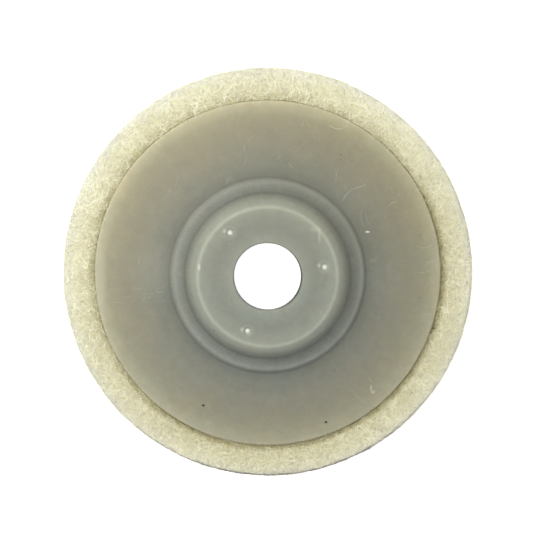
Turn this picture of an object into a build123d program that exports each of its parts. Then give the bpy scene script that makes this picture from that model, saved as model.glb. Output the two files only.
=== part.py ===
"""Felt polishing wheel for a 100 mm angle grinder, in millimetres.

A wool felt ring is glued to the flat front of a moulded plastic backing plate. The plate is a low
cone that rises to a raised, two-step hub, so the flange nut sits in a cup behind the working face.
+Z runs along the bore, from the felt's working face at Z = 0 towards the grinder.
"""

from build123d import *
import os

# Felt ring
WHEEL_RADIUS = 50.0
FELT_HOLE_RADIUS = 25.0
FELT_THICKNESS = 9.0         # under the backing plate
FELT_COLLAR_TOP = 10.0       # the felt swells up around the plate's rim
FELT_EDGE_ROUND = 0.6
FELT_SMALL_ROUND = 0.4

# Glue between the felt and the plate
GLUE_THICKNESS = 0.4
GLUE_INSET = 0.5             # bare felt left around the hole
RIM_GAP = 0.3                # the crevice between the plate's rim and the felt collar

# Backing plate
PLATE_RADIUS = 42.2
PLATE_UNDERSIDE = FELT_THICKNESS + GLUE_THICKNESS
RIM_THICKNESS = 1.3
WEB_ROOT_RADIUS = 23.8       # where the cone meets the hub's step
WEB_ROOT_TOP = 13.6
LEDGE_RADIUS = 23.0
LEDGE_TOP = 14.45
FLANK_FOOT_RADIUS = 20.0
FLANK_FOOT_TOP = 14.95       # the ledge falls slightly outwards
HUB_RADIUS = 17.5
HUB_TOP = 18.3

# Front side of the hub: the cup that the flange nut sits in
BORE_RADIUS = 8.0
HUB_THICKNESS = 3.3
CUP_RADIUS = 20.6
CUP_STEP = 11.45
CUP_FLANK_FOOT = 19.3
NUT_SEAT_RADIUS = 16.2

# Rounds on the plate's edges
BORE_ROUND = 0.3
HUB_ROUND = 3.2
FLANK_FOOT_ROUND = 0.9
NUT_SEAT_ROUND = 1.0
LEDGE_ROUND = 1.3
WEB_ROOT_ROUND = 0.7
RIM_ROUND = 0.6
RIM_FOOT_ROUND = 0.2
CUP_MOUTH_ROUND = 0.5
CUP_ROUND = 0.7

# Injection gate marks on the hub's face: a dished spot with the gate's nub inside it
GATE_COUNT = 3
GATE_CIRCLE_RADIUS = 13.75
GATE_FIRST_ANGLE = 10.0
GATE_DISH_RADIUS = 1.1
GATE_DISH_DEPTH = 0.35
GATE_NUB_RADIUS = 0.6
GATE_NUB_CLEARANCE = 0.05    # how far the nub's tip stays below the hub's face


def revolved(corners):
    """A ring turned about Z from a closed outline of (radius, height, corner round) corners."""
    outline = [(radius, height) for radius, height, _ in corners]
    rounds = [corner_round for _, _, corner_round in corners]
    with BuildPart() as ring:
        with BuildSketch(Plane.XZ):
            with BuildLine():
                FilletPolyline(*outline, radius=rounds, close=True)
            make_face()
        revolve(axis=Axis.Z)
    return ring.part


def gate_dish():
    """The shallow spherical dish that is cut around one gate, about the origin."""
    sphere_radius = (GATE_DISH_RADIUS**2 + GATE_DISH_DEPTH**2) / (2 * GATE_DISH_DEPTH)
    return Pos(0, 0, sphere_radius - GATE_DISH_DEPTH) * Sphere(sphere_radius)


def gate_nub():
    """The rounded stub that the gate leaves, standing in its dish and short of the hub's face."""
    tip = Pos(0, 0, -GATE_NUB_CLEARANCE - GATE_NUB_RADIUS) * Sphere(GATE_NUB_RADIUS)
    stem_height = 2 * GATE_NUB_RADIUS
    stem_top = -GATE_NUB_CLEARANCE - GATE_NUB_RADIUS
    stem = Pos(0, 0, stem_top - stem_height / 2) * Cylinder(GATE_NUB_RADIUS, stem_height)
    return tip + stem


def backing_plate():
    """The moulded plate: conical web, two-step hub, nut cup, bore and gate marks."""
    plate = revolved([
        (BORE_RADIUS, HUB_TOP, BORE_ROUND),
        (HUB_RADIUS, HUB_TOP, HUB_ROUND),
        (FLANK_FOOT_RADIUS, FLANK_FOOT_TOP, FLANK_FOOT_ROUND),
        (LEDGE_RADIUS, LEDGE_TOP, LEDGE_ROUND),
        (WEB_ROOT_RADIUS, WEB_ROOT_TOP, WEB_ROOT_ROUND),
        (PLATE_RADIUS, PLATE_UNDERSIDE + RIM_THICKNESS, RIM_ROUND),
        (PLATE_RADIUS, PLATE_UNDERSIDE, RIM_FOOT_ROUND),
        (CUP_RADIUS, PLATE_UNDERSIDE, CUP_MOUTH_ROUND),
        (CUP_RADIUS, CUP_STEP, CUP_ROUND),
        (CUP_FLANK_FOOT, CUP_STEP, CUP_ROUND),
        (NUT_SEAT_RADIUS, HUB_TOP - HUB_THICKNESS, NUT_SEAT_ROUND),
        (BORE_RADIUS, HUB_TOP - HUB_THICKNESS, BORE_ROUND),
    ])
    for index in range(GATE_COUNT):
        angle = GATE_FIRST_ANGLE + index * 360 / GATE_COUNT
        gate = Rot(0, 0, angle) * Pos(GATE_CIRCLE_RADIUS, 0, HUB_TOP)
        plate -= gate * gate_dish()
        plate += gate * gate_nub()
    return plate


def adhesive_layer():
    """The glue film, squeezed out as far as the felt collar around the rim."""
    inner = FELT_HOLE_RADIUS + GLUE_INSET
    outer = PLATE_RADIUS + RIM_GAP
    film = Cylinder(outer, GLUE_THICKNESS) - Cylinder(inner, GLUE_THICKNESS)
    return Pos(0, 0, FELT_THICKNESS + GLUE_THICKNESS / 2) * film


def felt_ring():
    """The pressed wool felt, flat in front, with a low collar around the plate's rim."""
    collar_radius = PLATE_RADIUS + RIM_GAP
    return revolved([
        (FELT_HOLE_RADIUS, 0, FELT_EDGE_ROUND),
        (WHEEL_RADIUS, 0, FELT_EDGE_ROUND),
        (WHEEL_RADIUS, FELT_COLLAR_TOP, FELT_EDGE_ROUND),
        (collar_radius, FELT_COLLAR_TOP, FELT_SMALL_ROUND),
        (collar_radius, FELT_THICKNESS, 0),
        (FELT_HOLE_RADIUS, FELT_THICKNESS, FELT_SMALL_ROUND),
    ])


def main():
    os.makedirs("parts", exist_ok=True)
    nodes = {
        "backing_plate": backing_plate(),
        "adhesive_layer": adhesive_layer(),
        "felt_ring": felt_ring(),
    }
    for name, shape in nodes.items():
        export_step(shape, f"parts/{name}.step")


if __name__ == "__main__":
    main()
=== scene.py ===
"""Looks for the felt polishing wheel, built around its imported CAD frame. All lengths are in metres.

The moulded backing plate keeps its CAD mesh and gets a frosted plastic material. The felt ring is
replaced by a finely pitted ring of the same section with thousands of wool fibres lying on it, and
the glue film by one with an uneven bead squeezed out at its edges. Loose wool hairs and dust lie on
the plastic, as on the real wheel.

Sides of the wheel are angles about the bore, in degrees, from +X towards +Y. Materials work in
millimetres, so the places, radii and noise sizes that they name are in millimetres too.
"""

import math

import bpy
import numpy as np
from mathutils import Matrix, Vector, noise
from mathutils.bvhtree import BVHTree


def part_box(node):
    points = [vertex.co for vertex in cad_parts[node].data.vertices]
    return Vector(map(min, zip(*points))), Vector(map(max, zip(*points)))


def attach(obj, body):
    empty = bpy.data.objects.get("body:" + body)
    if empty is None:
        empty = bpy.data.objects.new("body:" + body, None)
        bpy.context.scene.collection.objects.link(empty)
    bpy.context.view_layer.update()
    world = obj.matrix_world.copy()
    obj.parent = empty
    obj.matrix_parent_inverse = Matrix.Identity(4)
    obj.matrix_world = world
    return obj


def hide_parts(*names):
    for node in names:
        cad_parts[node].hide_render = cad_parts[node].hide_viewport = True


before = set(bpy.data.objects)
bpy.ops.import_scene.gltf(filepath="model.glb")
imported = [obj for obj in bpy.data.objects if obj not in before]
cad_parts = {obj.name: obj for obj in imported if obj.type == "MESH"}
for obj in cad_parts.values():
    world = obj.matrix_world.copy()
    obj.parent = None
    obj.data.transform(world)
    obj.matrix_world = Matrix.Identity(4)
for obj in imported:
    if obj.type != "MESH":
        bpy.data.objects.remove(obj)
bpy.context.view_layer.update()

MM = 0.001
TAU = 2 * math.pi


# ---------- sizes, read from the CAD frame

def node_radii(node):
    """(smallest, largest) distance of a CAD node's vertices from the bore axis."""
    radii = [vertex.co.xy.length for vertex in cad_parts[node].data.vertices]
    return min(radii), max(radii)


HOLE_RADIUS, WHEEL_RADIUS = node_radii("felt_ring")
GLUE_INNER_RADIUS, COLLAR_RADIUS = node_radii("adhesive_layer")
BORE_RADIUS, PLATE_RADIUS = node_radii("backing_plate")
COLLAR_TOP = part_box("felt_ring")[1].z
GLUE_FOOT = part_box("adhesive_layer")[0].z
GLUE_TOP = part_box("adhesive_layer")[1].z
HUB_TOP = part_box("backing_plate")[1].z


# ---------- rings turned about the bore

def rounded_outline(corners):
    """Points of a closed outline. Each corner is (radius, height, round, spacing); spacing is the
    distance between points along the corner's round and the straight run after it."""
    points = []
    count = len(corners)
    places = [Vector(corner[:2]) for corner in corners]
    for index, (_, _, size, spacing) in enumerate(corners):
        before, corner = places[index - 1], places[index]
        after, beyond = places[(index + 1) % count], places[(index + 2) % count]
        arriving = (corner - before).normalized()
        leaving = (after - corner).normalized()
        inwards = (leaving - arriving).normalized()
        across = (leaving + arriving).normalized()
        turn = arriving.angle_signed(leaving)
        bulge = size * (1 / math.cos(turn / 2) - 1)
        steps = max(1, round(abs(turn) * size / spacing))
        for step in range(steps + 1):
            swing = abs(turn) * (step / steps - 0.5)
            set_back = size * (1 - math.cos(swing)) + bulge
            points.append(corner + inwards * set_back + across * size * math.sin(swing))
        next_size = corners[(index + 1) % count][2]
        next_turn = leaving.angle_signed((beyond - after).normalized())
        start = corner + leaving * abs(size * math.tan(turn / 2))
        run = (after - start).length - abs(next_size * math.tan(next_turn / 2))
        pieces = max(1, round(run / spacing))
        points += [start + leaving * run * step / pieces for step in range(1, pieces)]
    return np.array(points)


class RingSurface:
    """A ring turned from a closed outline, roughened by relief, that fibres can lie on.

    A place on it is (turn, along): the angle about the bore and the distance round the outline."""

    def __init__(self, corners, relief):
        outline = rounded_outline(corners)
        self.outline = np.vstack([outline, outline[:1]])
        steps = np.diff(self.outline, axis=0)
        self.along = np.concatenate([[0], np.cumsum(np.linalg.norm(steps, axis=1))])
        tangents = np.roll(outline, -1, axis=0) - np.roll(outline, 1, axis=0)
        tangents /= np.linalg.norm(tangents, axis=1, keepdims=True)
        normals = np.stack([tangents[:, 1], -tangents[:, 0]], axis=1)
        if self.area() < 0:
            normals = -normals
        self.normals = np.vstack([normals, normals[:1]])
        self.relief = relief

    def area(self):
        """The outline's area, positive when it runs anticlockwise in (radius, height)."""
        radius, height = self.outline.T
        return np.sum(radius[:-1] * height[1:] - radius[1:] * height[:-1]) / 2

    def along_at(self, radius, height):
        """How far round the outline its point nearest to (radius, height) is."""
        gaps = np.linalg.norm(self.outline[:-1] - (radius, height), axis=1)
        return self.along[int(np.argmin(gaps))]

    def radius_at(self, along):
        """The distance from the bore axis at places this far round the outline."""
        return np.interp(along % self.along[-1], self.along, self.outline[:, 0])

    def at(self, turn, along):
        """Points and outward normals, with the relief, at arrays of places."""
        along = along % self.along[-1]
        radius, height, out, up = (
            np.interp(along, self.along, column)
            for column in (*self.outline.T, *self.normals.T)
        )
        cos, sin = np.cos(turn), np.sin(turn)
        points = np.stack([radius * cos, radius * sin, height], axis=-1)
        normals = np.stack([out * cos, out * sin, up], axis=-1)
        normals /= np.linalg.norm(normals, axis=-1, keepdims=True)
        return points + normals * self.relief(points, normals)[..., None], normals


def smooth_noise(points, size):
    """Noise between about -1 and 1 at each point, with bumps about size across."""
    flat = (points / size).reshape(-1, 3)
    values = np.array([noise.noise(point) for point in flat.tolist()])
    return values.reshape(points.shape[:-1])


def mesh_object(name, points, faces, material, smooth=False):
    """A new object of this mesh and material, in the scene."""
    mesh = bpy.data.meshes.new(name)
    mesh.from_pydata(points, [], faces)
    mesh.polygons.foreach_set("use_smooth", [smooth] * len(mesh.polygons))
    mesh.materials.append(material)
    mesh.update()
    made = bpy.data.objects.new(name, mesh)
    bpy.context.scene.collection.objects.link(made)
    return made


def ring_object(name, surface, turns, material):
    """The whole ring as one closed mesh, with this many steps about the bore."""
    angles = np.arange(turns) * TAU / turns
    turn, along = np.meshgrid(angles, surface.along[:-1], indexing="ij")
    points, _ = surface.at(turn, along)
    corner = np.arange(turn.size).reshape(turn.shape)
    beside = np.roll(corner, -1, axis=0)
    loops = [corner, beside, np.roll(beside, -1, axis=1), np.roll(corner, -1, axis=1)]
    if surface.area() < 0:
        loops.reverse()
    faces = np.stack(loops, axis=-1).reshape(-1, 4)
    return mesh_object(name, points.reshape(-1, 3).tolist(), faces.tolist(), material, smooth=True)


# ---------- fibres

FIBRE_SIDES = 3
FIBRE_TIP = 0.35              # the width of a fibre's ends, as a part of its middle
ROOT_DEPTH = 0.02 * MM        # how far a fibre's ends are sunk into the surface
FLOOR_GAP = 0.03 * MM         # the least height of a fibre's middle line above the floor


def tubes(name, paths, ups, radius, material):
    """Closed thin tubes along paths (tube, step, xyz), tapered at both ends."""
    count, steps, _ = paths.shape
    tangents = np.gradient(paths, axis=1)
    tangents /= np.linalg.norm(tangents, axis=-1, keepdims=True)
    across = np.cross(tangents, ups)
    across /= np.linalg.norm(across, axis=-1, keepdims=True)
    lifted = np.cross(across, tangents)
    taper = FIBRE_TIP + (1 - FIBRE_TIP) * np.sin(np.linspace(0, math.pi, steps)) ** 0.5
    width = (np.broadcast_to(radius, count)[:, None] * taper)[:, :, None]
    rings = [
        paths + width * (math.cos(angle) * across + math.sin(angle) * lifted)
        for angle in np.arange(FIBRE_SIDES) * TAU / FIBRE_SIDES
    ]
    points = np.stack(rings, axis=2).reshape(-1, 3).tolist()
    index = np.arange(count * steps * FIBRE_SIDES).reshape(count, steps, FIBRE_SIDES)
    here, ahead = index[:, :-1], index[:, 1:]
    turned = [here, np.roll(here, -1, axis=2), np.roll(ahead, -1, axis=2), ahead]
    sides = np.stack(turned, axis=-1).reshape(-1, 4).tolist()
    caps = index[:, 0, ::-1].tolist() + index[:, -1].tolist()
    return mesh_object(name, points, sides + caps, material)


def fibre_object(name, surface, region, count, material, seed, steps, lift, length, thickness, curl):
    """Curly fibres on the surface between two places along its outline. They lie within lift of it;
    length and thickness are (least, most), and curl is the usual turn from step to step."""
    start, end = region
    rng = np.random.default_rng(seed)
    stride = rng.uniform(*length, count) / (steps - 1)
    turn = rng.uniform(0, TAU, count)
    along = rng.uniform(start, end, count)
    heading = rng.uniform(0, TAU, count)
    bend = rng.normal(0, curl, count)
    turns, alongs = [turn], [along]
    for _ in range(steps - 1):
        heading = heading + bend + rng.normal(0, curl / 2, count)
        turn = turn + np.cos(heading) * stride / surface.radius_at(along)
        along = along + np.sin(heading) * stride
        outside = (along < start) | (along > end)
        heading = np.where(outside, -heading, heading)
        along = np.clip(along, start, end)
        turns.append(turn)
        alongs.append(along)
    points, normals = surface.at(np.stack(turns, axis=1), np.stack(alongs, axis=1))
    arch = np.sin(np.linspace(0, math.pi, steps)) * rng.uniform(0.2, 1, count)[:, None]
    wander = rng.normal(0, 0.25, (count, steps)) * arch
    points = points + normals * ((arch + wander) * lift - ROOT_DEPTH)[..., None]
    points[..., 2] = np.maximum(points[..., 2], FLOOR_GAP)
    return tubes(name, points, normals, rng.uniform(*thickness, count), material)


STRAY_REACH = (0.8 * MM, 2.6 * MM)
STRAY_RISE = (0.25 * MM, 0.8 * MM)
STRAY_TURNOVER = (1.2, 2.8)           # past half of pi, a hair's free end curls back down
STRAY_THICKNESS = (0.014 * MM, 0.024 * MM)
STRAY_ROOT_DEPTH = 0.03 * MM


def stray_hairs(name, surface, region, count, material, seed):
    """Fine hairs that stand away from the surface at one end and curl over."""
    steps = 8
    rng = np.random.default_rng(seed)
    part = np.linspace(0, 1, steps)[None, :]
    reach = rng.uniform(*STRAY_REACH, (count, 1))
    heading = rng.uniform(0, TAU, (count, 1)) + rng.normal(0, 1.1, (count, 1)) * part
    turn = rng.uniform(0, TAU, (count, 1))
    along = rng.uniform(*region, (count, 1))
    turns = turn + np.cos(heading) * part * reach / surface.radius_at(along)
    points, normals = surface.at(turns, along + np.sin(heading) * part * reach)
    rise = rng.uniform(*STRAY_RISE, (count, 1)) * np.sin(part * rng.uniform(*STRAY_TURNOVER, (count, 1)))
    points = points + normals * (rise - STRAY_ROOT_DEPTH)[..., None]
    points[..., 2] = np.maximum(points[..., 2], FLOOR_GAP)
    return tubes(name, points, normals, rng.uniform(*STRAY_THICKNESS, count), material)


BRIDGE_START = (0.2 * MM, 1.2 * MM)   # how far outside the collar's inner edge a hair is rooted
BRIDGE_REACH = (-0.1 * MM, 1.1 * MM)  # how far inside the plate's rim it ends
BRIDGE_ROOT_DEPTH = 0.15 * MM
BRIDGE_RISE = (0.25 * MM, 0.6 * MM)   # above the plate's rim
BRIDGE_THICKNESS = 0.022 * MM
RIM_ABOVE_COLLAR = 0.72 * MM


def bridging_hairs(name, count, material, seed):
    """Short hairs that reach from the felt collar over the plate's rim."""
    steps = 8
    rng = np.random.default_rng(seed)
    part = np.linspace(0, 1, steps)[None, :]
    turn = rng.uniform(0, TAU, (count, 1))
    slant = rng.normal(0, 0.022, (count, 1))
    reach = rng.uniform(*BRIDGE_REACH, (count, 1))
    start = COLLAR_RADIUS + rng.uniform(*BRIDGE_START, (count, 1))
    radius = start - part * (start - PLATE_RADIUS + reach)
    turns = turn + slant * part + rng.normal(0, 0.004, (count, 1)) * np.sin(part * 7)
    rise = RIM_ABOVE_COLLAR + rng.uniform(*BRIDGE_RISE, (count, 1))
    height = COLLAR_TOP - BRIDGE_ROOT_DEPTH + rise * np.sin(part * 1.75)
    points = np.stack([radius * np.cos(turns), radius * np.sin(turns), height], axis=-1)
    ups = np.broadcast_to((0.0, 0.0, 1.0), points.shape)
    return tubes(name, points, ups, BRIDGE_THICKNESS, material)


# ---------- shader nodes

MIX_FACTOR, MIX_FIRST, MIX_SECOND, MIX_RESULT = 0, 6, 7, 2    # a Mix node's sockets for colours


def new_material(name):
    """A new material, its node tree and its shader."""
    material = bpy.data.materials.new(name)
    material.use_nodes = True
    return material, material.node_tree, material.node_tree.nodes["Principled BSDF"]


def is_socket(value):
    return isinstance(value, bpy.types.NodeSocket)


def plug(tree, socket, value):
    """Links another socket to this one, or sets it to a number or colour."""
    if is_socket(value):
        tree.links.new(value, socket)
    else:
        socket.default_value = value


def set_inputs(tree, node, **inputs):
    """Sets or links a node's inputs, whose names are written with _ for a space."""
    for key, value in inputs.items():
        plug(tree, node.inputs[key.replace("_", " ")], value)


def add(tree, kind, **inputs):
    """A new node with these inputs."""
    node = tree.nodes.new(kind)
    set_inputs(tree, node, **inputs)
    return node


def operate(tree, kind, operation, values):
    """The outputs of a new maths node that applies an operation to the values."""
    node = tree.nodes.new(kind)
    node.operation = operation
    for socket, value in zip(node.inputs, values):
        plug(tree, socket, value)
    return node.outputs


def maths(tree, operation, *values):
    return operate(tree, "ShaderNodeMath", operation, values)[0]


def vector_maths(tree, operation, *values):
    """The result of a vector operation: a number for a length, distance or dot product."""
    is_number = operation in ("LENGTH", "DISTANCE", "DOT_PRODUCT")
    return operate(tree, "ShaderNodeVectorMath", operation, values)["Value" if is_number else "Vector"]


def scaled(tree, vector, factor):
    return vector_maths(tree, "MULTIPLY", vector, (factor, factor, factor))


def joined(tree, operation, first, *others):
    """The values joined by an operation, two at a time."""
    for other in others:
        first = maths(tree, operation, first, other)
    return first


def product(tree, *values):
    return joined(tree, "MULTIPLY", *values)


def total(tree, *values):
    return joined(tree, "ADD", *values)


def highest(tree, *values):
    return joined(tree, "MAXIMUM", *values)


def remap(tree, value, low, high, to_low=0.0, to_high=1.0):
    """A value from low to high, brought to lie between to_low and to_high."""
    made = add(tree, "ShaderNodeMapRange", Value=value, From_Min=low, From_Max=high,
               To_Min=to_low, To_Max=to_high)
    return made.outputs["Result"]


def near_value(tree, value, middle, inner, outer, inside=1.0, outside=0.0):
    """inside while the value is within inner of the middle, changing to outside at outer from it."""
    away = maths(tree, "ABSOLUTE", maths(tree, "SUBTRACT", value, middle))
    return remap(tree, away, inner, outer, inside, outside)


def noise_value(tree, place, size, detail=2.0, roughness=0.5, distortion=0.0):
    """Noise around 0.5, whose blotches are about size across."""
    made = add(tree, "ShaderNodeTexNoise", Vector=place, Scale=1 / size, Detail=detail,
               Roughness=roughness, Distortion=distortion)
    return made.outputs["Fac"]


def thin_lines(tree, place, size, width, distortion=0.0):
    """1 along thin curling lines, which are the middle contour of a noise this size, and 0 elsewhere."""
    value = noise_value(tree, place, size, 2.0, 0.55, distortion)
    return near_value(tree, value, 0.5, width * 0.3, width)


def mix_colour(tree, factor, first, second, blend="MIX"):
    """The second colour over the first. Each is (red, green, blue) or a socket."""
    made = tree.nodes.new("ShaderNodeMix")
    made.data_type = "RGBA"
    made.blend_type = blend
    plug(tree, made.inputs[MIX_FACTOR], factor)
    for index, colour in ((MIX_FIRST, first), (MIX_SECOND, second)):
        plug(tree, made.inputs[index], colour if is_socket(colour) else (*colour, 1))
    return made.outputs[MIX_RESULT]


def tinted(tree, colour, tint):
    return mix_colour(tree, 1.0, colour, tint, "MULTIPLY")


def grey(tree, value):
    return add(tree, "ShaderNodeCombineColor", Red=value, Green=value, Blue=value).outputs[0]


def colour_ramp(tree, value, low, high, stops):
    """A colour ramp whose stops are (value, colour) with value between low and high."""
    ramp = add(tree, "ShaderNodeValToRGB", Fac=remap(tree, value, low, high))
    elements = ramp.color_ramp.elements
    while len(elements) < len(stops):
        elements.new(0.5)
    for element, (at, colour) in zip(elements, stops):
        element.position = (at - low) / (high - low)
        element.color = (*colour, 1)
    return ramp.outputs["Color"]


def bump(tree, shader, height, distance):
    """Bumps on the surface from a height between about 0 and 1, where 1 stands for this distance."""
    made = add(tree, "ShaderNodeBump", Height=height, Distance=distance)
    tree.links.new(made.outputs["Normal"], shader.inputs["Normal"])


def millimetres(tree):
    """Object coordinates in millimetres, so that a noise scale of 1 is about 1 mm across."""
    place = tree.nodes.new("ShaderNodeTexCoord").outputs["Object"]
    return scaled(tree, place, 1 / MM)


def from_axis(tree, place):
    """The part of a place that points away from the bore axis."""
    return vector_maths(tree, "MULTIPLY", place, (1, 1, 0))


def radius_value(tree, place):
    """The distance from the bore axis."""
    return vector_maths(tree, "LENGTH", from_axis(tree, place))


def towards(tree, place, angle, size):
    """The distance along the direction at this angle, divided by size."""
    angle = math.radians(angle)
    direction = (math.cos(angle) / size, math.sin(angle) / size, 0)
    return vector_maths(tree, "DOT_PRODUCT", place, direction)


# ---------- plastic

# The plastic's colour by radius: grey over the hollow hub, warmer where felt shows through.
PLASTIC_TINTS = [
    (8.0, (0.29, 0.31, 0.26)),
    (16.0, (0.29, 0.305, 0.25)),
    (22.5, (0.285, 0.30, 0.26)),
    (24.5, (0.285, 0.295, 0.24)),
    (28.0, (0.285, 0.285, 0.225)),
    (34.0, (0.33, 0.315, 0.23)),
    (38.5, (0.38, 0.36, 0.25)),
    (41.0, (0.455, 0.43, 0.30)),
    (42.0, (0.53, 0.50, 0.355)),
]
# How light it is by radius: partly the wall's thickness, partly painted light and shade: painted highlights
# on the hub's rounded edge and the ledge's crest, painted light by the bore, and painted shade in the
# valley at the hub's foot and at the root of the web.
PLASTIC_PAINTED_SHADING = [
    (8.0, 1.00),
    (10.5, 0.85),
    (12.0, 0.81),
    (13.2, 0.85),
    (14.7, 0.92),
    (15.9, 1.00),
    (16.6, 1.34),
    (17.2, 1.02),
    (18.4, 0.95),
    (19.3, 0.75),
    (19.9, 0.56),
    (20.8, 0.62),
    (21.8, 0.75),
    (22.4, 0.87),
    (23.0, 0.79),
    (23.7, 0.61),
    (24.5, 0.63),
    (26.5, 0.76),
    (30.0, 0.84),
    (34.0, 0.83),
    (37.0, 0.84),
    (39.5, 0.88),
    (41.2, 0.89),
    (42.0, 0.84),
]
PLASTIC_RADII = (7.0, 43.0)       # the span of the two lists above

# Painted warm light on the lit side of the plastic and cooler painted shade across from it, fully at this
# distance from the bore.
WARM_LIT_SIDE = 92
WARM_LIT_REACH = 26.0
WARM_LIGHT_TINT = (0.99, 0.97, 0.915)
COOL_SHADE_TINT = (0.99, 1.01, 1.05)

# Large blotches, warmer and cooler.
BLOTCH_SIZE = 8.0
WARM_BLOTCH = (1.03, 1.0, 0.965)
COOL_BLOTCH = (0.98, 1.0, 1.0)

# The ledge around the hub gets painted light on one side and painted shade across from it. The grain is
# rougher on the ledge and on the flank above it, where flow streaks also show.
LEDGE_RADIUS = 21.3
LIT_LEDGE_SIDE = 180
ROUGH_RADIUS = 20.3
STREAKED_RADIUS = 20.6

# The thin rim gets painted light on the lit side and painted shade across from it, most at this distance
# from the bore. The painted light begins at the first of these radii and is full at the second.
LIT_RIM_SIDE = 110
LIT_RIM_REACH = 42.0
LIT_RIM_RADII = (39.0, 41.5)

# Hairline scratches, in patches.
SCRATCH_COLOUR = (0.62, 0.61, 0.54)
SCRATCH_STRENGTH = 0.08

# The bore's edge is darkened in a thin band, most on one side.
DARK_BORE_SIDE = -10
DARK_BORE_RADII = (8.15, 8.45)
DARK_BORE_EDGE = (0.06, 0.06, 0.055)

# The gate marks: where they are on the hub's face, and how far aside a fainter painted highlight lies
# beside each.
GATE_CIRCLE = 13.75
GATE_ANGLES = (10, 130, 250)
GATE_HIGHLIGHT_ASIDE = (-1.2, 0.33)

# Pale marks as (x, y, half width, half height, strength). The first five are hardly seen: broad painted
# sheen on the web. The sixth is a painted glint on the hub's rounded edge. The rest are rub marks.
RUB_MARKS_AND_SHEEN = [
    (-40.7, 0.0, 1.6, 15.0, 0.11),
    (40.7, 0.0, 1.6, 10.0, 0.05),
    (-27.0, 1.0, 7.5, 9.0, 0.06),
    (28.0, -2.0, 6.5, 7.5, 0.03),
    (19.5, 19.5, 8.0, 8.0, 0.025),
    (-16.2, 2.3, 0.45, 1.0, 0.55),
    (12.3, 9.6, 0.40, 2.4, 0.22),
    (11.4, 11.4, 1.6, 0.9, 0.14),
    (24.1, 10.5, 0.75, 0.32, 0.95),
    (25.3, -27.7, 0.42, 1.1, 0.32),
    (25.8, -28.8, 0.75, 0.6, 0.30),
]
WHITE_MARKS_AND_HIGHLIGHTS = (0.76, 0.78, 0.68)     # the colour of the whitish gates, painted highlights, painted sheen and glint, and rub marks


def plastic_tint(tree, place, radius):
    """The plastic's colour by radius and side: painted light and shade by radius, painted warm light on one
    side and cooler painted shade across from it, and large warm and cool blotches.
    """
    colour = colour_ramp(tree, radius, *PLASTIC_RADII, PLASTIC_TINTS)
    # Painted highlights and painted shade by radius, over the wall's own lightness.
    painted_shading = [(at, (level, level, level)) for at, level in PLASTIC_PAINTED_SHADING]
    colour = tinted(tree, colour, colour_ramp(tree, radius, *PLASTIC_RADII, painted_shading))
    # Painted warm light on one side, cooler painted shade on the other.
    side = remap(tree, towards(tree, place, WARM_LIT_SIDE, WARM_LIT_REACH), -1.0, 1.0)
    colour = tinted(tree, colour, mix_colour(tree, side, COOL_SHADE_TINT, WARM_LIGHT_TINT))
    blotches = remap(tree, noise_value(tree, place, BLOTCH_SIZE, 3.0, 0.55), 0.3, 0.7)
    return mix_colour(tree, blotches, tinted(tree, colour, WARM_BLOTCH), tinted(tree, colour, COOL_BLOTCH))


def flow_streaks(tree, place, radius):
    """Noise drawn out along the radius, without a seam where the turn begins again."""
    outwards = vector_maths(tree, "NORMALIZE", from_axis(tree, place))
    lift = add(tree, "ShaderNodeCombineXYZ", Z=product(tree, radius, 0.15)).outputs[0]
    drawn_out = vector_maths(tree, "ADD", scaled(tree, outwards, 21.0), lift)
    streaks = noise_value(tree, drawn_out, 0.32, 2.0, 0.6)
    band = near_value(tree, radius, STREAKED_RADIUS, 1.2, 3.0, 1.0, 0.12)
    return product(tree, remap(tree, streaks, 0.3, 0.7, -0.03, 0.03), band)


def plastic_level(tree, place, radius):
    """How light the plastic is, around 1: haze, grain, flow streaks, and painted light and shade on the
    ledge and on the rim.
    """
    haze = remap(tree, noise_value(tree, place, 2.6, 4.0, 0.65, 0.4), 0.3, 0.75, 0.94, 1.06)
    grain = remap(tree, noise_value(tree, place, 0.45, 3.0, 0.7), 0.3, 0.7, -0.025, 0.025)
    rough = near_value(tree, radius, ROUGH_RADIUS, 2.4, 3.2, 3.0, 1.0)
    grain = total(tree, product(tree, grain, rough), 1.0)
    # Painted light on one side of the ledge and painted shade across from it.
    ledge = remap(tree, towards(tree, place, LIT_LEDGE_SIDE, LEDGE_RADIUS), -1.0, 1.0, -0.12, 0.10)
    ledge = product(tree, ledge, near_value(tree, radius, LEDGE_RADIUS, 0.9, 1.5))
    # Painted light on the rim's lit side and painted shade across from it.
    added_light = remap(tree, towards(tree, place, LIT_RIM_SIDE, LIT_RIM_REACH), -1.0, 1.0, -0.08, 0.09)
    added_light = product(tree, added_light, remap(tree, radius, *LIT_RIM_RADII))
    return total(tree, product(tree, haze, grain), flow_streaks(tree, place, radius), ledge, added_light)


def near_gates(tree, place, aside, near, far):
    """1 within near of a point aside of any gate, falling to 0 at far."""
    gaps = []
    for angle in GATE_ANGLES:
        turn = math.radians(angle)
        x = GATE_CIRCLE * math.cos(turn) + aside[0]
        y = GATE_CIRCLE * math.sin(turn) + aside[1]
        gaps.append(vector_maths(tree, "DISTANCE", place, (x, y, HUB_TOP / MM)))
    return remap(tree, joined(tree, "MINIMUM", *gaps), near, far, 1.0, 0.0)


def rub_mark_and_sheen_value(tree, place):
    """How strongly the rub marks, the painted sheen and the painted glint show, with soft edges."""
    shown = 0.0
    for x, y, half_width, half_height, strength in RUB_MARKS_AND_SHEEN:
        offset = vector_maths(tree, "SUBTRACT", place, (x, y, 0))
        offset = vector_maths(tree, "MULTIPLY", offset, (1 / half_width, 1 / half_height, 0))
        away = vector_maths(tree, "LENGTH", offset)
        shown = total(tree, shown, remap(tree, away, 0.3, 1.0, strength, 0.0))
    return shown


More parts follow.
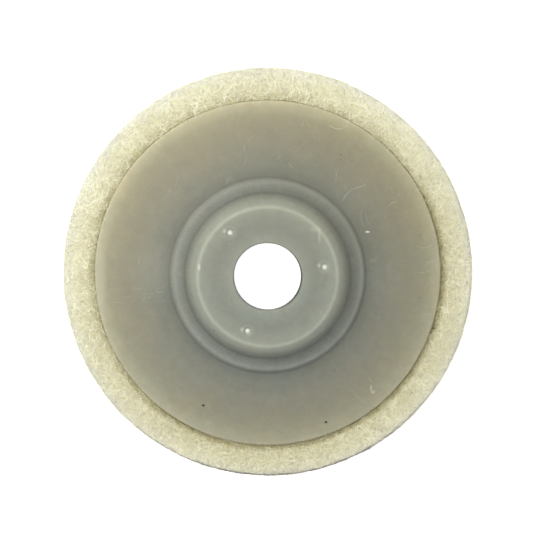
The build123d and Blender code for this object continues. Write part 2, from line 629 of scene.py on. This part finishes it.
def with_marks_and_highlights(tree, place, colour):
    """The plastic with its whitish gates carrying painted highlights, a faint haze round them, a painted
    highlight beside each, and the rub marks, painted sheen and painted glint.
    """
    # The gates' white spots: their whitish plastic with painted highlights on the nubs.
    white = near_gates(tree, place, (0, 0), 0.42, 0.85)
    cloud = product(tree, near_gates(tree, place, (0, 0), 0.8, 2.0), 0.10)
    # A fainter painted highlight beside each gate, where the rim of its dish catches the light.
    beside = product(tree, near_gates(tree, place, GATE_HIGHLIGHT_ASIDE, 0.1, 0.75), 0.42)
    mark = highest(tree, white, cloud, beside, rub_mark_and_sheen_value(tree, place))
    broken = remap(tree, noise_value(tree, place, 0.5, 2.0), 0.3, 0.6, 0.7, 1.0)
    return mix_colour(tree, product(tree, mark, broken), colour, WHITE_MARKS_AND_HIGHLIGHTS)


def darkened_bore_edge(tree, place, radius, colour):
    """The plastic, darkened in a thin band at the bore's edge, most on one side."""
    edge = remap(tree, radius, *DARK_BORE_RADII, 1.0, 0.0)
    side = remap(tree, towards(tree, place, DARK_BORE_SIDE, BORE_RADIUS / MM), 0.4, 1.0, 0.2, 1.0)
    return mix_colour(tree, product(tree, edge, side), colour, DARK_BORE_EDGE)


def frosted_plastic():
    """Natural plastic with whitish gates, mould streaks, haze, hairline scratches, and painted highlights,
    sheen and shade.
    """
    material, tree, shader = new_material("frosted_plastic")
    place = millimetres(tree)
    radius = radius_value(tree, place)
    rubbed = remap(tree, noise_value(tree, place, 6.0, 2.0), 0.45, 0.62)
    scratches = product(tree, thin_lines(tree, place, 9.0, 0.008, 1.5), rubbed)
    colour = plastic_tint(tree, place, radius)
    colour = tinted(tree, colour, grey(tree, plastic_level(tree, place, radius)))
    colour = mix_colour(tree, product(tree, scratches, SCRATCH_STRENGTH), colour, SCRATCH_COLOUR)
    colour = with_marks_and_highlights(tree, place, colour)
    colour = darkened_bore_edge(tree, place, radius, colour)
    rough = remap(tree, noise_value(tree, place, 1.4, 3.0, 0.6), 0.3, 0.7, 0.42, 0.56)
    set_inputs(tree, shader, Base_Color=colour, Roughness=rough, IOR=1.49, Specular_IOR_Level=0.28,
               Subsurface_Weight=0.75, Subsurface_Radius=(1.0, 0.95, 0.8), Subsurface_Scale=2.5 * MM)
    frost = noise_value(tree, place, 0.28, 3.0, 0.6)
    waves = product(tree, noise_value(tree, place, 3.5, 2.0, 0.5), 4.0)
    height = maths(tree, "SUBTRACT", total(tree, frost, waves), product(tree, scratches, 0.5))
    bump(tree, shader, height, 0.016 * MM)
    return material


# ---------- wool

# The felt's colour by radius, and on its outer side, with painted shade and some soil in the crevice beside
# the plate, and painted light on the rounded outer edge.
FELT_TINTS_AND_SHADING = [
    (25.0, (0.85, 0.80, 0.55)),
    (42.4, (0.60, 0.57, 0.33)),
    (43.2, (0.74, 0.70, 0.45)),
    (44.4, (0.83, 0.79, 0.54)),
    (46.0, (0.90, 0.87, 0.61)),
    (48.0, (0.98, 0.965, 0.75)),
    (49.3, (0.98, 0.97, 0.85)),
    (50.0, (0.96, 0.945, 0.78)),
]
FELT_RADII = (24.0, 51.0)         # the span of the list above

# Patches, pits darkened with painted shade, and curling strands within the felt, as tints of its colour.
YELLOW_PATCH = (1.03, 1.03, 0.94)
PINK_PATCH = (0.97, 0.95, 0.93)
PIT_SHADE = (0.57, 0.52, 0.39)
PIT_SHADE_STRENGTH = 0.54
LIGHT_STRAND = (1.14, 1.15, 1.17)
STRAND_STRENGTH = 0.6
SPECK = (0.44, 0.37, 0.27)        # the colour of small dark specks of chaff
SPECK_STRENGTH = 0.85

# Painted shadow of the plate's rim on the felt, with some soil, as (side, where it begins, where it is
# full, strength). The second and third are cosines of the angle to that side. Everywhere else it has its
# least value.
SHADOW_AND_SOIL_SIDES = [
    (-60, -0.3, 0.5, 0.78),
    (2, 0.80, 0.96, 1.0),
    (-120, 0.85, 0.97, 1.0),
    (168, 0.70, 0.95, 0.42),
]
LEAST_SHADOW_AND_SOIL = 0.05
SHADOW_AND_SOIL_RADIUS = 43.0
SHADOW_AND_SOIL_FADES = (42.6, 45.5)
SHADOW_AND_SOIL_TINT = (0.66, 0.63, 0.49)

# A broad faint painted shade on the felt's side away from the light.
SHADED_FELT_SIDE = -70
SHADED_FELT_RADIUS = 47.0
FELT_SHADE_STRENGTH = 0.20

# The rounded outer edge is darker in patches on one side, fading down the outer side.
DARK_EDGE_SIDE = -84
DARK_EDGE_RADII = (49.4, 49.7)
DARK_EDGE_DEPTHS = (3.5, 0.5)         # below the collar's top, where it begins and where it is full
DARK_EDGE_COLOUR = (0.33, 0.30, 0.27)

# The light and dark colours of each kind of wool strand. The crevice wool is darker: partly soil, partly
# painted shade in the crevice.
WOOLS = {
    "wool_fibre": ((0.98, 0.97, 0.79), (0.76, 0.72, 0.46)),
    "fine_wool_fibre": ((0.98, 0.97, 0.81), (0.84, 0.80, 0.55)),
    "loose_wool": ((0.84, 0.82, 0.71), (0.66, 0.63, 0.52)),
    "faint_loose_wool": ((0.56, 0.54, 0.46), (0.44, 0.42, 0.35)),
    "crevice_wool": ((0.80, 0.76, 0.52), (0.52, 0.48, 0.28)),
}


def shadow_and_soil_value(tree, place, radius):
    """How much painted shadow and soil there is: up to 1 close beside the plate on the shadowed sides, with
    ragged edges, and the broad painted shade on one side.
    """
    most = LEAST_SHADOW_AND_SOIL
    for side, begins, full, strength in SHADOW_AND_SOIL_SIDES:
        there = remap(tree, towards(tree, place, side, SHADOW_AND_SOIL_RADIUS), begins, full, 0.0, strength)
        most = highest(tree, most, there)
    ragged = remap(tree, noise_value(tree, place, 1.3, 3.0, 0.7), 0.3, 0.7, -0.7, 0.7)
    near = remap(tree, total(tree, radius, ragged), *SHADOW_AND_SOIL_FADES, 1.0, 0.0)
    # Broad painted shade on the side away from the light.
    side_shade = towards(tree, place, SHADED_FELT_SIDE, SHADED_FELT_RADIUS)
    side_shade = remap(tree, side_shade, -0.6, 0.7, 0.0, FELT_SHADE_STRENGTH)
    return highest(tree, product(tree, most, near, near), side_shade)


def dark_edge_value(tree, place, radius):
    """How dark the felt's rounded outer edge is on one side, in patches that fade down its side."""
    side = remap(tree, towards(tree, place, DARK_EDGE_SIDE, WHEEL_RADIUS / MM), 0.60, 0.90)
    ragged = remap(tree, noise_value(tree, place, 0.8, 3.0, 0.7), 0.3, 0.7, -0.2, 0.2)
    edge = remap(tree, total(tree, radius, ragged), *DARK_EDGE_RADII)
    height = add(tree, "ShaderNodeSeparateXYZ", Vector=place).outputs["Z"]
    begins, full = (COLLAR_TOP / MM - depth for depth in DARK_EDGE_DEPTHS)
    top = remap(tree, height, begins, full)
    patches = remap(tree, noise_value(tree, place, 3.5, 3.0, 0.65), 0.35, 0.6, 0.35, 1.0)
    return product(tree, side, edge, top, top, patches)


def shadowed_and_darkened(tree, place, radius, colour):
    """The wool's colour with painted shadow and some soil beside the plate, painted shade on one side, and
    the darker outer edge.
    """
    # Painted shadow and some soil beside the plate, and painted shade on one side.
    colour = mix_colour(tree, shadow_and_soil_value(tree, place, radius), colour, tinted(tree, colour, SHADOW_AND_SOIL_TINT))
    # The outer edge, darker on one side.
    return mix_colour(tree, dark_edge_value(tree, place, radius), colour, DARK_EDGE_COLOUR)


def wool_felt():
    """Pressed wool: cream, with curling light strands, pits darkened with painted shade, yellower and
    pinker patches, and painted shadow beside the plate.
    """
    material, tree, shader = new_material("pressed_wool_felt")
    place = millimetres(tree)
    radius = radius_value(tree, place)
    # The felt's colour, with painted shade beside the plate and painted light on the rounded outer edge.
    colour = colour_ramp(tree, radius, *FELT_RADII, FELT_TINTS_AND_SHADING)
    patches = remap(tree, noise_value(tree, place, 2.6, 3.0, 0.6), 0.35, 0.65)
    colour = mix_colour(tree, patches, tinted(tree, colour, YELLOW_PATCH), tinted(tree, colour, PINK_PATCH))
    colour = shadowed_and_darkened(tree, place, radius, colour)
    # Pits, darkened with painted shade.
    pits = remap(tree, noise_value(tree, place, 0.5, 4.0, 0.75, 1.6), 0.36, 0.45, 1.0, 0.0)
    colour = mix_colour(tree, product(tree, pits, PIT_SHADE_STRENGTH), colour, tinted(tree, colour, PIT_SHADE))
    thick = thin_lines(tree, place, 0.9, 0.030, 1.0)
    thin = thin_lines(tree, place, 0.55, 0.035, 1.4)
    strands = highest(tree, thick, thin)
    light = tinted(tree, colour, LIGHT_STRAND)
    colour = mix_colour(tree, product(tree, strands, STRAND_STRENGTH), colour, light)
    specks = remap(tree, noise_value(tree, place, 0.32, 2.0, 0.5), 0.27, 0.33, SPECK_STRENGTH, 0.0)
    colour = mix_colour(tree, specks, colour, SPECK)
    set_inputs(tree, shader, Base_Color=colour, Roughness=0.95, Specular_IOR_Level=0.2)
    raised = total(tree, noise_value(tree, place, 0.35, 4.0, 0.7, 2.5), product(tree, strands, 0.6))
    bump(tree, shader, maths(tree, "SUBTRACT", raised, product(tree, pits, 0.5)), 0.16 * MM)
    return material


def wool_fibre(name, light, dark):
    """One strand's colour, which differs from strand to strand, with painted shadow and some soil beside
    the plate.
    """
    material, tree, shader = new_material(name)
    place = millimetres(tree)
    chance = tree.nodes.new("ShaderNodeNewGeometry").outputs["Random Per Island"]
    colour = mix_colour(tree, remap(tree, chance, 0.0, 0.6), dark, light)
    colour = shadowed_and_darkened(tree, place, radius_value(tree, place), colour)
    set_inputs(tree, shader, Base_Color=colour, Roughness=0.7, Specular_IOR_Level=0.35)
    return material


# ---------- glue and dust

THIN_GLUE = (0.55, 0.49, 0.32)
THICK_GLUE = (0.30, 0.25, 0.14)
DUST = (0.02, 0.018, 0.015)
BLACKER_DUST = (0.014, 0.0126, 0.0105)


def dried_glue():
    """Amber contact glue, darker where it is thick."""
    material, tree, shader = new_material("dried_glue")
    place = millimetres(tree)
    drops = remap(tree, noise_value(tree, place, 1.8, 3.0, 0.6), 0.3, 0.7)
    set_inputs(tree, shader, Base_Color=mix_colour(tree, drops, THICK_GLUE, THIN_GLUE), Roughness=0.38,
               Subsurface_Weight=0.3, Subsurface_Scale=0.3 * MM)
    bump(tree, shader, noise_value(tree, place, 0.6, 3.0), 0.1 * MM)
    return material


def dark_dust():
    """Grinding dust, nearly black."""
    material, tree, shader = new_material("dust")
    spots = noise_value(tree, millimetres(tree), 0.2, 2.0)
    set_inputs(tree, shader, Base_Color=mix_colour(tree, spots, BLACKER_DUST, DUST), Roughness=0.7)
    return material


# ---------- the felt and its fibres

FELT_TURNS = 850
FELT_ROUND = 0.75 * MM
LIP_WIDTH = 1.7 * MM          # how far from the plate the felt begins to turn down
LIP_DROP = 0.4 * MM
TIGHT_SIDE = 115              # the plate sits off centre, hard against the felt on this side
CRUSHED_SIDE = -60            # the felt is crushed beside the plate here
CRUSHED_WIDTH = 2.2 * MM
CRUSHED_DEPTH = 0.25 * MM

# Fibres that lie on the felt: long strands, fine fibres between them, and short ones in the crevice.
STRANDS = dict(steps=10, lift=0.10 * MM, length=(2.0 * MM, 6.0 * MM),
               thickness=(0.035 * MM, 0.07 * MM), curl=0.35)
FINE_FIBRES = dict(steps=7, lift=0.16 * MM, length=(1.0 * MM, 3.4 * MM),
                   thickness=(0.016 * MM, 0.032 * MM), curl=0.45)
SHORT_FIBRES = dict(steps=6, lift=0.30 * MM, length=(0.6 * MM, 2.2 * MM),
                    thickness=(0.02 * MM, 0.05 * MM), curl=0.5)


def turn_from(points, side):
    """The angle about the bore between each point and a side of the wheel."""
    return np.arctan2(points[..., 1], points[..., 0]) - math.radians(side)


def lip_bulge(points):
    """How far the felt's lip swells towards the plate's rim."""
    gap = COLLAR_RADIUS - PLATE_RADIUS
    close = 0.62 + 0.55 * np.cos(turn_from(points, TIGHT_SIDE)) + 0.5 * smooth_noise(points, 2.3 * MM)
    return gap * np.clip(close, 0, 1.1)


def felt_relief(points, normals):
    """How far the felt's surface stands out from its moulded shape: waves, tufts, pits and its lip."""
    waves = 0.09 * MM * smooth_noise(points, 11 * MM)
    tufts = 0.07 * MM * smooth_noise(points, 1.9 * MM)
    pits = -0.16 * MM * np.clip(smooth_noise(points + 5.0, 1.0 * MM) - 0.05, 0, 1)
    grain = 0.04 * MM * smooth_noise(points + 9.0, 0.5 * MM)
    radius = np.linalg.norm(points[..., :2], axis=-1)
    inwards = -np.sum(points[..., :2] * normals[..., :2], axis=-1) / radius
    at_lip = (radius < COLLAR_RADIUS + 0.3 * MM) & (points[..., 2] > GLUE_TOP - 0.2 * MM)
    lip = np.where(at_lip, lip_bulge(points) * np.clip(inwards, 0, 1), 0)
    beside = np.clip(1 - (radius - COLLAR_RADIUS) / CRUSHED_WIDTH, 0, 1) * np.clip(normals[..., 2], 0, 1)
    crushed = CRUSHED_DEPTH * np.clip(0.5 + 0.7 * np.cos(turn_from(points, CRUSHED_SIDE)), 0, 1)
    out = waves + tufts + pits + grain + lip - crushed * beside
    facing_floor = normals[..., 2] < -0.5
    return np.where(facing_floor, np.minimum(out - 0.05 * MM, 0), out)


def felt_surface():
    return RingSurface([
        (HOLE_RADIUS, 0, FELT_ROUND, 0.75 * MM),
        (WHEEL_RADIUS, 0, FELT_ROUND, 0.4 * MM),
        (WHEEL_RADIUS, COLLAR_TOP, FELT_ROUND, 0.28 * MM),
        (COLLAR_RADIUS + LIP_WIDTH, COLLAR_TOP, 2.0 * MM, 0.28 * MM),
        (COLLAR_RADIUS, COLLAR_TOP - LIP_DROP, 0.25 * MM, 0.2 * MM),
        (COLLAR_RADIUS, GLUE_FOOT, 0.05 * MM, 2.0 * MM),
        (HOLE_RADIUS, GLUE_FOOT, 0.4 * MM, 0.6 * MM),
    ], felt_relief)


def fibre_regions(surface):
    """The stretches of the felt's outline that fibres lie on, as (start, end) along it."""
    face_start = surface.along_at(HOLE_RADIUS, 0)
    side_start = surface.along_at(WHEEL_RADIUS, 0)
    collar_start = surface.along_at(WHEEL_RADIUS, COLLAR_TOP)
    lip_start = surface.along_at(COLLAR_RADIUS + 0.9 * MM, COLLAR_TOP - 0.1 * MM)
    return {
        "face": (face_start, side_start),
        "side": (side_start, collar_start),
        "collar": (collar_start - 1.0 * MM, surface.along_at(COLLAR_RADIUS, COLLAR_TOP - LIP_DROP)),
        "crevice": (lip_start, surface.along_at(COLLAR_RADIUS, GLUE_TOP)),
        "hole": (surface.along_at(HOLE_RADIUS, GLUE_FOOT), surface.along[-1]),
    }


def make_felt(material, wools):
    surface = felt_surface()
    felt = ring_object("felt_ring_wool", surface, FELT_TURNS, material)
    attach(felt, "root")
    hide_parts("felt_ring")
    regions = fibre_regions(surface)
    coarse, fine, crevice = (wools[name] for name in ("wool_fibre", "fine_wool_fibre", "crevice_wool"))
    layers = [
        ("strands_working_face", "face", 3200, coarse, STRANDS),
        ("strands_outer_side", "side", 2400, coarse, STRANDS),
        ("strands_collar", "collar", 2400, coarse, STRANDS),
        ("strands_hole", "hole", 900, coarse, STRANDS),
        ("fine_fibres_outer_side", "side", 5000, fine, FINE_FIBRES),
        ("fine_fibres_collar", "collar", 3600, fine, FINE_FIBRES),
        ("crevice_fibres", "crevice", 2200, crevice, SHORT_FIBRES),
    ]
    pieces = [
        fibre_object(name, surface, regions[region], count, wool, seed, **kind)
        for seed, (name, region, count, wool, kind) in enumerate(layers)
    ]
    pieces.append(stray_hairs("stray_hairs_side", surface, regions["side"], 1500, fine, 31))
    pieces.append(stray_hairs("stray_hairs_collar", surface, regions["collar"], 1200, fine, 32))
    pieces.append(bridging_hairs("fibres_over_rim", 320, fine, 11))
    for piece in pieces:
        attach(piece, "root")


# ---------- the glue film

GLUE_TURNS = 900
GLUE_SWELL = 0.35 * MM


def glue_relief(points, normals):
    """Swells and gaps along the two edges of the glue film."""
    radius = np.linalg.norm(points[..., :2], axis=-1)
    outer = np.clip((radius - PLATE_RADIUS) / (0.2 * MM), 0, 1) * (normals[..., 2] > 0.2)
    inner = np.clip((GLUE_INNER_RADIUS + 0.1 * MM - radius) / (0.1 * MM), 0, 1)
    swell = GLUE_SWELL * np.clip(smooth_noise(points, 2.2 * MM) + 0.15, 0, 1)
    return (outer + 0.6 * inner) * swell


def make_glue(material):
    surface = RingSurface([
        (GLUE_INNER_RADIUS, GLUE_FOOT, 0.1 * MM, 0.5 * MM),
        (COLLAR_RADIUS, GLUE_FOOT, 0.05 * MM, 0.1 * MM),
        (COLLAR_RADIUS, GLUE_TOP, 0.1 * MM, 0.05 * MM),
        (PLATE_RADIUS, GLUE_TOP, 0.02 * MM, 2.0 * MM),
        (GLUE_INNER_RADIUS, GLUE_TOP, 0.1 * MM, 0.1 * MM),
    ], glue_relief)
    glue = ring_object("glue_film", surface, GLUE_TURNS, material)
    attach(glue, "root")
    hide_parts("adhesive_layer")


# ---------- hairs and dust on the plastic

# Loose wool hairs on the plate as (x, y, heading in degrees, length, curl in degrees), in millimetres.
LOOSE_HAIRS = [
    (14.9, 36.4, -58, 7.2, 160),
    (-5.6, 31.4, -92, 1.8, 10),
    (18.2, 18.0, 78, 3.2, -50),
    (19.1, 20.3, 18, 5.4, -6),
    (29.2, 16.6, 65, 2.8, -85),
    (37.6, 9.8, -70, 4.6, 110),
    (40.4, 8.0, -125, 5.5, -100),
    (38.4, 2.6, 45, 4.2, -140),
    (36.2, 0.8, -12, 4.4, 60),
    (39.4, -0.6, -70, 3.4, 75),
    (34.3, -10.3, 14, 5.6, 8),
    (-26.6, 31.4, -5, 1.0, 0),
    (21.2, -29.2, -38, 4.6, -12),
    (24.6, -24.9, -75, 2.4, 60),
]
FAINT_HAIRS = [
    (21.5, 33.6, -100, 3.2, 90),
    (22.7, 32.2, -75, 2.6, -80),
    (22.7, 15.9, -96, 4.8, 30),
    (23.6, 15.4, -88, 3.6, 10),
    (9.4, 37.6, -90, 2.2, 60),
    (8.7, 37.4, -80, 1.8, -60),
    (16.9, 26.1, -105, 4.4, 10),
    (19.0, 27.9, -80, 1.8, 60),
    (5.2, 27.2, -90, 1.8, 60),
    (2.2, 28.0, 15, 1.8, 80),
    (-5.2, 28.8, -70, 3.6, -110),
    (-23.8, 23.4, -75, 3.4, 90),
    (-21.6, 23.6, -100, 3.0, -40),
    (-31.0, 4.4, -90, 2.0, 0),
    (32.4, 20.6, -160, 3.0, 200),
    (31.4, 18.6, 100, 2.4, -180),
    (15.6, -20.7, -56, 4.3, 8),
    (24.0, -4.2, 4, 3.0, -60),
    (28.6, -4.8, 25, 2.8, -90),
    (31.6, -4.0, -10, 2.4, 80),
    (-38.6, -3.4, 4, 3.6, -10),
    (-38.2, -6.9, 6, 4.0, 10),
    (-35.4, -5.4, 2, 2.8, 12),
    (-33.2, -3.2, 8, 3.4, -20),
    (-30.8, -6.6, 40, 2.6, 60),
    (-30.2, -6.2, 55, 2.4, -70),
    (-29.6, -4.4, -30, 2.2, 140),
    (-28.9, -5.6, 20, 2.4, 110),
    (-27.6, -6.2, -4, 3.0, 12),
    (-27.2, -4.0, -12, 2.6, 16),
]
HAIR_STEPS = 14
HAIR_CLEARANCE = 0.05             # how far a hair lies above the plate, in millimetres
HAIR_ARCH = 0.16                  # and how much more in its middle at most
LOOSE_HAIR_THICKNESS = 0.034 * MM
FAINT_HAIR_THICKNESS = 0.028 * MM
SCATTERED_HAIR_THICKNESS = 0.017 * MM

# Very fine hairs scattered over one side of the plate's web.
SCATTERED_HAIRS = 44
SCATTERED_RADII = (25.0, 41.0)
SCATTERED_TURNS = (-25, 100)
SCATTERED_LENGTHS = (1.2, 4.2)
SCATTERED_CURL = 110

# Dust specks as (x, y, half width), in millimetres: on the plate, in the crevice and on the felt.
DUST_SPECKS = [
    (-15.8, -32.0, 0.32),
    (14.3, -36.3, 0.30),
    (-17.8, -16.4, 0.14),
    (-12.7, -12.9, 0.14),
    (17.6, 29.0, 0.15),
    (37.0, -5.6, 0.11),
    (-22.2, -15.9, 0.10),
    (37.0, 9.7, 0.10),
    (40.5, -13.2, 0.24),
    (40.1, -14.3, 0.15),
    (40.9, -12.2, 0.13),
    (41.5, 8.4, 0.14),
    (24.9, 33.9, 0.16),
    (31.7, 27.5, 0.15),
    (32.4, 26.6, 0.11),
    (25.4, -33.4, 0.14),
    (35.5, -29.2, 0.13),
    (36.4, -28.6, 0.11),
    (35.0, -29.7, 0.09),
    (26.5, -35.5, 0.12),
    (29.7, -33.1, 0.10),
    (34.0, -33.5, 0.10),
    (41.8, -13.9, 0.12),
    (28.6, -36.8, 0.09),
]
SPECK_AROUND = 10                 # points about a speck's upright axis
SPECK_ROWS = 5
SPECK_WIDTH = 0.75                # a speck's width along Y and its height, as parts of its size
SPECK_HEIGHT = 0.5


def plate_tree():
    """The backing plate's surface, to drop things onto."""
    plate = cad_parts["backing_plate"].data
    return BVHTree.FromPolygons([v.co for v in plate.vertices], [p.vertices for p in plate.polygons])


def drop(tree, x, y):
    """The point and normal of the plate's back under (x, y), or of the felt past the plate's rim."""
    up = Vector((0, 0, 1))
    place, normal, _, _ = tree.ray_cast(Vector((x, y, HUB_TOP + 10 * MM)), -up)
    if place is None:
        return Vector((x, y, COLLAR_TOP + 0.2 * MM)), up
    return place, normal


def hair_on_plate(tree, rng, hair):
    """Points along one loose hair and the plate's normals under them."""
    x, y, heading, length, curl = hair
    angle = math.radians(heading)
    path, ups = [], []
    for step in range(HAIR_STEPS):
        place, normal = drop(tree, x * MM, y * MM)
        arch = HAIR_ARCH * math.sin(step / (HAIR_STEPS - 1) * math.pi) * rng.random()
        path.append(place + normal * (HAIR_CLEARANCE + arch) * MM)
        ups.append(normal)
        x += math.cos(angle) * length / HAIR_STEPS
        y += math.sin(angle) * length / HAIR_STEPS
        angle += math.radians(curl) / HAIR_STEPS + rng.normal(0, 0.05)
    return path, ups


def make_loose_hairs(name, tree, hairs, thickness, seed, material):
    rng = np.random.default_rng(seed)
    laid = [hair_on_plate(tree, rng, hair) for hair in hairs]
    paths = np.array([path for path, _ in laid])
    ups = np.array([up for _, up in laid])
    piece = tubes(name, paths, ups, thickness, material)
    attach(piece, "root")


def scattered_hairs():
    """The very fine hairs, as (x, y, heading, length, curl)."""
    rng = np.random.default_rng(5)
    hairs = []
    for _ in range(SCATTERED_HAIRS):
        radius = rng.uniform(*SCATTERED_RADII)
        turn = math.radians(rng.uniform(*SCATTERED_TURNS))
        heading = rng.uniform(0, 360)
        length = rng.uniform(*SCATTERED_LENGTHS)
        curl = rng.normal(0, SCATTERED_CURL)
        hairs.append((radius * math.cos(turn), radius * math.sin(turn), heading, length, curl))
    return hairs


def speck_points(place, size, number):
    """Points of one speck, row by row from its top. The number sets how it is lumped."""
    points = []
    for row in range(1, SPECK_ROWS):
        tilt = math.pi * row / SPECK_ROWS
        for step in range(SPECK_AROUND):
            turn = TAU * step / SPECK_AROUND
            lump = noise.noise((number * 3.1 + math.cos(turn), math.sin(turn), row * 0.5))
            reach = size * (1 + 0.45 * lump)
            points.append((
                place.x + reach * math.sin(tilt) * math.cos(turn),
                place.y + reach * math.sin(tilt) * math.sin(turn) * SPECK_WIDTH,
                place.z + reach * SPECK_HEIGHT * (0.6 + math.cos(tilt)),
            ))
    return points


def speck_faces(base):
    """Faces of one speck whose points begin at base."""
    faces = []
    for row in range(SPECK_ROWS - 2):
        for step in range(SPECK_AROUND):
            here = base + row * SPECK_AROUND + step
            beside = base + row * SPECK_AROUND + (step + 1) % SPECK_AROUND
            faces.append((here, here + SPECK_AROUND, beside + SPECK_AROUND, beside))
    last = base + (SPECK_ROWS - 2) * SPECK_AROUND
    faces.append(tuple(base + step for step in range(SPECK_AROUND)))
    faces.append(tuple(last + step for step in reversed(range(SPECK_AROUND))))
    return faces


def make_dust(tree, material):
    """Small uneven lumps that sit on the plate and the felt."""
    points, faces = [], []
    for number, (x, y, size) in enumerate(DUST_SPECKS):
        place, _ = drop(tree, x * MM, y * MM)
        faces += speck_faces(len(points))
        points += speck_points(place, size * MM, number)
    made = mesh_object("dust_specks", points, faces, material, smooth=True)
    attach(made, "root")


# ---------- studio

FLOOR_HALF = 3.0
FLOOR_COLOUR = (0.82, 0.82, 0.81)
FLOOR_GLOW = 0.7
SKY_LIGHT = 0.52
SKY_SEEN = 1.0                    # the sky's strength as the camera sees it

# Lights as (name, place, aim, width, power in watts). The last lights the floor below the bore.
WHEEL_MIDDLE = (0, 0, 10 * MM)
LIGHTS = [
    ("softbox", (-0.050, 0.054, 0.262), WHEEL_MIDDLE, 0.22, 0.46),
    ("side_lamp", (-0.222, 0.240, 0.230), WHEEL_MIDDLE, 0.10, 0.40),
    ("under_bore", (0, 0, 8 * MM), (0, 0, 0), 2 * BORE_RADIUS, 0.0006),
]

CAMERA_PLACE = (2.0 * MM, 20.9 * MM, 289.5 * MM)
CAMERA_AIM = (1.80 * MM, 0.30 * MM, 9.5 * MM)
SENSOR_WIDTH = 36
FOCAL_LENGTH = 75.1


def seen_by_camera(tree):
    """1 where the camera sees a thing directly, and 0 where it only gives light."""
    return tree.nodes.new("ShaderNodeLightPath").outputs["Is Camera Ray"]


def pale_floor():
    """A pale ground with white light added that only the camera sees, so it photographs as white."""
    material, tree, shader = new_material("pale_floor")
    set_inputs(tree, shader, Base_Color=(*FLOOR_COLOUR, 1), Roughness=0.9)
    strength = product(tree, seen_by_camera(tree), FLOOR_GLOW)
    added_light = add(tree, "ShaderNodeEmission", Color=(1, 1, 1, 1), Strength=strength)
    both = tree.nodes.new("ShaderNodeAddShader")
    plug(tree, both.inputs[0], shader.outputs[0])
    plug(tree, both.inputs[1], added_light.outputs[0])
    plug(tree, tree.nodes["Material Output"].inputs["Surface"], both.outputs[0])
    return material


def make_floor():
    corners = [(x * FLOOR_HALF, y * FLOOR_HALF, 0) for x, y in ((-1, -1), (1, -1), (1, 1), (-1, 1))]
    floor = mesh_object("floor", corners, [(0, 1, 2, 3)], pale_floor())


def make_world():
    world = bpy.data.worlds.new("studio")
    world.use_nodes = True
    bpy.context.scene.world = world
    tree = world.node_tree
    background = tree.nodes["Background"]
    strength = remap(tree, seen_by_camera(tree), 0, 1, SKY_LIGHT, SKY_SEEN)
    set_inputs(tree, background, Color=(1, 1, 1, 1), Strength=strength)


def area_light(name, place, aim, width, power):
    light = bpy.data.lights.new(name, "AREA")
    light.shape = "DISK"
    light.size = width
    light.energy = power
    made = bpy.data.objects.new(name, light)
    made.location = place
    made.rotation_euler = (Vector(aim) - Vector(place)).to_track_quat("-Z", "Y").to_euler()
    made.visible_camera = False
    bpy.context.scene.collection.objects.link(made)


def make_camera():
    """Above the grinder's side, a little towards +Y, with +Y up in the picture."""
    camera = bpy.data.cameras.new("camera")
    camera.sensor_width = SENSOR_WIDTH
    camera.lens = FOCAL_LENGTH
    camera.clip_start = 10 * MM
    back = (Vector(CAMERA_PLACE) - Vector(CAMERA_AIM)).normalized()
    right = Vector((0, 1, 0)).cross(back).normalized()
    up = back.cross(right)
    made = bpy.data.objects.new("camera", camera)
    made.matrix_world = Matrix((right, up, back)).transposed().to_4x4()
    made.location = CAMERA_PLACE
    bpy.context.scene.collection.objects.link(made)
    bpy.context.scene.camera = made


def make_studio():
    make_floor()
    make_world()
    for light in LIGHTS:
        area_light(*light)
    make_camera()
    bpy.context.scene.view_settings.view_transform = "Standard"


# ---------- all together

def main():
    wools = {name: wool_fibre(name, light, dark) for name, (light, dark) in WOOLS.items()}
    loose, faint = wools["loose_wool"], wools["faint_loose_wool"]
    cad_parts["backing_plate"].material_slots[0].material = frosted_plastic()
    make_glue(dried_glue())
    make_felt(wool_felt(), wools)
    tree = plate_tree()
    make_loose_hairs("loose_wool_hairs", tree, LOOSE_HAIRS, LOOSE_HAIR_THICKNESS, 21, loose)
    make_loose_hairs("faint_wool_hairs", tree, FAINT_HAIRS, FAINT_HAIR_THICKNESS, 22, faint)
    make_loose_hairs("scattered_wool_hairs", tree, scattered_hairs(), SCATTERED_HAIR_THICKNESS, 23, faint)
    make_dust(tree, dark_dust())
    make_studio()


main()
